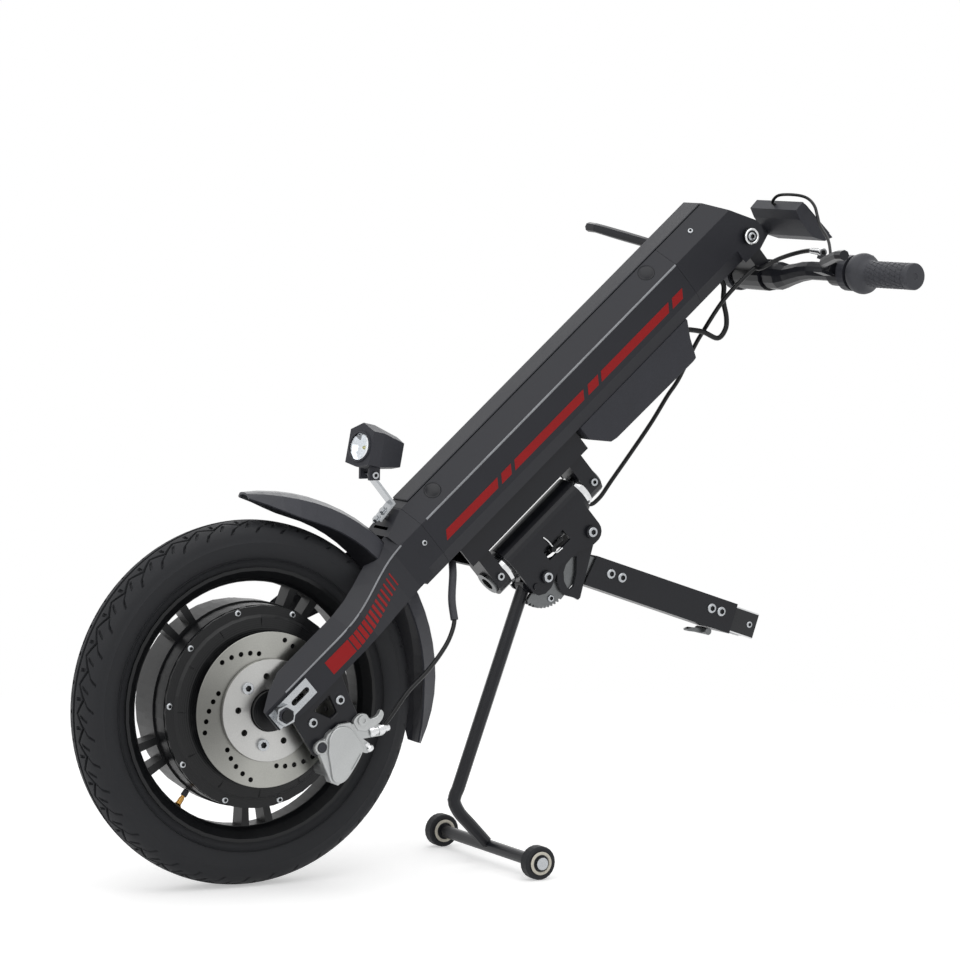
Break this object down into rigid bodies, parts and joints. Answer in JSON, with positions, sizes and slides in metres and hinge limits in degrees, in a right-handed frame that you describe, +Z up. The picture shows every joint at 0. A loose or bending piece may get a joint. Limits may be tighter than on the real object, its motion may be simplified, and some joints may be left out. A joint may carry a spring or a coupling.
{
  "type": "electric handbike attachment",
  "caption": "Electric handbike: hub-motor wheel in a cast fork, inclined battery column with handlebar, docking head with telescopic arm, folding parking stand and headlight.",
  "frame": {"origin": "middle of the bounding box's bottom face, on the floor", "axes": "+X backwards from the wheel to the rider, +Y across to the side away from the brake disc, +Z up"},
  "size_m": [0.9786, 0.5962, 0.8076],
  "materials": {
    "arm_bolt": "bright zinc",
    "arm_lug": "satin, plated",
    "arm_tube": "satin black powder coat",
    "axle": "black oxide",
    "axle_nut_left": "bright zinc",
    "axle_nut_right": "bright zinc",
    "battery_pack": "shrink wrap",
    "brake_cable": "smooth sleeve",
    "brake_cable_upper": "smooth sleeve",
    "brake_disc": "ground stainless",
    "brake_lever_left": "satin black",
    "brake_lever_right": "satin black",
    "caliper_arm": "silver paint",
    "caliper_body": "silver paint",
    "caliper_bracket": "satin black",
    "clamp_lever": "plated",
    "column_head": "fine textured anthracite",
    "column_shell": "fine textured anthracite",
    "controller_box": "moulded, fine grain",
    "disc_carrier": "turned",
    "display": "moulded, fine grain",
    "display_cable": "smooth sleeve",
    "dock_head": "satin black powder coat",
    "dropout_plate_left": "stamped, bright",
    "dropout_plate_right": "stamped, bright",
    "fender": "moulded, satin",
    "fork": "fine textured anthracite",
    "front_strip": "fine textured anthracite",
    "grip_left": "ribbed rubber",
    "grip_right": "ribbed rubber",
    "handlebar_tube": "satin black",
    "headset_cup_lower": "polished",
    "headset_cup_upper": "polished",
    "inner_tube": "anodised",
    "lamp_housing": "moulded",
    "lamp_lens": "clear, fluted",
    "lamp_strap": "bright",
    "latch_pin": "bright",
    "lever_bolt": "bright zinc",
    "lever_clamp_left": "satin black",
    "lever_clamp_right": "satin black",
    "lower_bracket": "satin black powder coat",
    "motor_cover_left": "satin black, turned ribs",
    "motor_cover_right": "satin black, turned ribs",
    "motor_stator": "wound copper on laminations",
    "power_lead": "smooth sleeve",
    "release_lever": "satin black",
    "rim": "satin black",
    "stand_axle": "bright zinc",
    "stand_crossbar": "satin black",
    "stand_leg": "satin black",
    "stand_wheel_left": "black with a cream hub ring",
    "stand_wheel_right": "black with a cream hub ring",
    "steering_spindle": "ground",
    "stem": "satin black",
    "stem_pivot_bolt": "bright zinc",
    "thumb_throttle": "moulded",
    "tyre": "black rubber with a cut tread",
    "under_rail": "satin black",
    "upper_bracket": "satin black powder coat"
  },
  "bodies": {
    "front_frame": {"column_shell": "column_shell", "front_strip": "front_strip", "column_head": "column_head", "fork": "fork", "battery_pack": "battery_pack", "controller_box": "controller_box", "under_rail": "under_rail", "lower_bracket": "lower_bracket", "upper_bracket": "upper_bracket", "steering_spindle": "steering_spindle", "axle": "axle", "axle_nut_left": "axle_nut_left", "axle_nut_right": "axle_nut_right", "dropout_plate_left": "dropout_plate_left", "dropout_plate_right": "dropout_plate_right", "fender": "fender", "lamp_strap": "lamp_strap", "caliper_bracket": "caliper_bracket", "caliper_body": "caliper_body", "brake_cable": "brake_cable", "power_lead": "power_lead", "motor_stator": "motor_stator", "stem_pivot_bolt": "stem_pivot_bolt"},
    "headlight": {"lamp_housing": "lamp_housing", "lamp_lens": "lamp_lens"},
    "brake_arm": {"caliper_arm": "caliper_arm"},
    "wheel": {"tyre": "tyre", "rim": "rim", "motor_cover_left": "motor_cover_left", "motor_cover_right": "motor_cover_right", "brake_disc": "brake_disc", "disc_carrier": "disc_carrier"},
    "dock": {"dock_head": "dock_head", "headset_cup_lower": "headset_cup_lower", "headset_cup_upper": "headset_cup_upper", "arm_bolt": "arm_bolt", "lever_bolt": "lever_bolt"},
    "arm": {"arm_tube": "arm_tube", "arm_lug": "arm_lug"},
    "slider": {"inner_tube": "inner_tube"},
    "arm_clamp": {"clamp_lever": "clamp_lever"},
    "release": {"release_lever": "release_lever"},
    "latch": {"latch_pin": "latch_pin"},
    "stand": {"stand_leg": "stand_leg", "stand_crossbar": "stand_crossbar", "stand_axle": "stand_axle"},
    "stand_roller_left": {"stand_wheel_left": "stand_wheel_left"},
    "stand_roller_right": {"stand_wheel_right": "stand_wheel_right"},
    "handlebar": {"stem": "stem", "handlebar_tube": "handlebar_tube", "grip_left": "grip_left", "grip_right": "grip_right", "lever_clamp_left": "lever_clamp_left", "lever_clamp_right": "lever_clamp_right", "display": "display", "display_cable": "display_cable", "brake_cable_upper": "brake_cable_upper"},
    "left_brake_lever": {"brake_lever_left": "brake_lever_left"},
    "right_brake_lever": {"brake_lever_right": "brake_lever_right"},
    "throttle": {"thumb_throttle": "thumb_throttle"}
  },
  "joints": [
    {"name": "wheel_spin", "type": "hinge", "parent": "front_frame", "child": "wheel", "pos_m": [-0.27679, 0, 0.2125], "axis": [0, 1, 0], "continuous": true},
    {"name": "steering", "type": "hinge", "parent": "front_frame", "child": "dock", "pos_m": [-0.19727, 0, 0.12263], "axis": [0.749, 0, 0.6626], "range_deg": [-35, 35]},
    {"name": "arm_tilt", "type": "hinge", "parent": "dock", "child": "arm", "pos_m": [0.11251, 0, 0.34596], "axis": [0, 1, 0], "range_deg": [-10, 20]},
    {"name": "arm_slide", "type": "slide", "parent": "arm", "child": "slider", "axis": [0.9494, 0, -0.314], "range_m": [-0.015, 0.06]},
    {"name": "arm_clamp_turn", "type": "hinge", "parent": "arm", "child": "arm_clamp", "pos_m": [0.35249, 0, 0.26744], "axis": [0, 1, 0], "range_deg": [-80, 0]},
    {"name": "release_pull", "type": "hinge", "parent": "dock", "child": "release", "pos_m": [0.17309, 0, 0.39822], "axis": [0, 1, 0], "range_deg": [0, 8], "stiffness_Nm_per_rad": 0.6, "springref_deg": -8.59},
    {"name": "latch_slide", "type": "slide", "parent": "dock", "child": "latch", "axis": [0.749, 0, 0.6626], "range_m": [0, 0.006], "stiffness_N_per_m": 200, "springref_m": -0.003},
    {"name": "stand_fold", "type": "hinge", "parent": "dock", "child": "stand", "pos_m": [0.09837, 0, 0.33478], "axis": [0, 1, 0], "range_deg": [-70, 0]},
    {"name": "stand_roller_left_spin", "type": "hinge", "parent": "stand", "child": "stand_roller_left", "pos_m": [0.05421, -0.1175, 0.02], "axis": [0, 1, 0], "continuous": true},
    {"name": "stand_roller_right_spin", "type": "hinge", "parent": "stand", "child": "stand_roller_right", "pos_m": [0.05421, 0.1175, 0.02], "axis": [0, 1, 0], "continuous": true},
    {"name": "stem_tilt", "type": "hinge", "parent": "front_frame", "child": "handlebar", "pos_m": [0.37838, 0, 0.75476], "axis": [0, 1, 0], "range_deg": [-8, 10]},
    {"name": "brake_pull_left", "type": "hinge", "parent": "handlebar", "child": "left_brake_lever", "pos_m": [0.39878, -0.17538, 0.72459], "axis": [0.2924, 0, 0.9563], "range_deg": [0, 20], "stiffness_Nm_per_rad": 0.8, "springref_deg": -6.88},
    {"name": "brake_pull_right", "type": "hinge", "parent": "handlebar", "child": "right_brake_lever", "pos_m": [0.40098, 0.17538, 0.72991], "axis": [-0.4695, 0, -0.8829], "range_deg": [0, 20], "stiffness_Nm_per_rad": 0.8, "springref_deg": -6.88},
    {"name": "caliper_arm_turn", "type": "hinge", "parent": "front_frame", "child": "brake_arm", "pos_m": [-0.19677, 0, 0.18288], "axis": [0, -1, 0], "range_deg": [0, 10]},
    {"name": "throttle_press", "type": "hinge", "parent": "handlebar", "child": "throttle", "pos_m": [0.43005, -0.18869, 0.71582], "axis": [-0.1478, 0.989, 0], "range_deg": [0, 40], "stiffness_Nm_per_rad": 0.06, "springref_deg": -17.19},
    {"name": "headlight_tilt", "type": "hinge", "parent": "front_frame", "child": "headlight", "pos_m": [-0.11619, 0, 0.4731], "axis": [0, 1, 0], "range_deg": [-25, 25]}
  ],
  "couplings": [
    {"joint": "caliper_arm_turn", "follows": "brake_pull_left", "ratio": 0.5}
  ]
}
